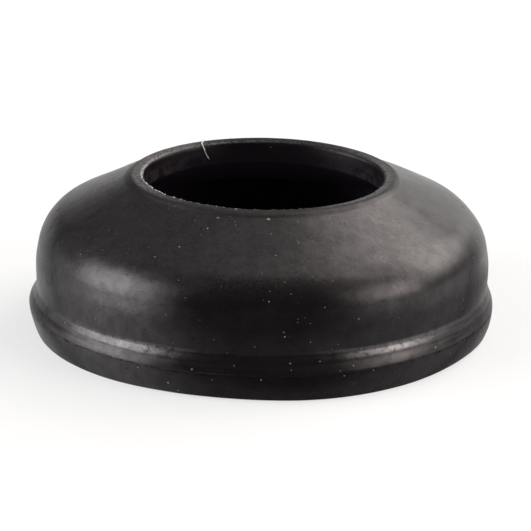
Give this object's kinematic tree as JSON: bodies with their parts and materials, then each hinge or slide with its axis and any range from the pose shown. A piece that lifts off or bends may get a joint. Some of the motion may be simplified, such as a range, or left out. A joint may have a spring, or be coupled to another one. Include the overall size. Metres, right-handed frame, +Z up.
{
  "type": "vent seal",
  "caption": "Moulded black rubber vent seal: a low hollow dome with a round neck through its top and a bead round its open foot.",
  "frame": {"origin": "centre of the open foot, on the plane that the seal stands on", "axes": "+Z up along the axis of the neck; X and Y lie in the plane of the foot and are interchangeable"},
  "size_m": [0.03, 0.03, 0.01],
  "materials": {
    "black_rubber": "satin moulded rubber"
  },
  "bodies": {
    "root": {"vent_seal": "black_rubber"}
  },
  "joints": []
}
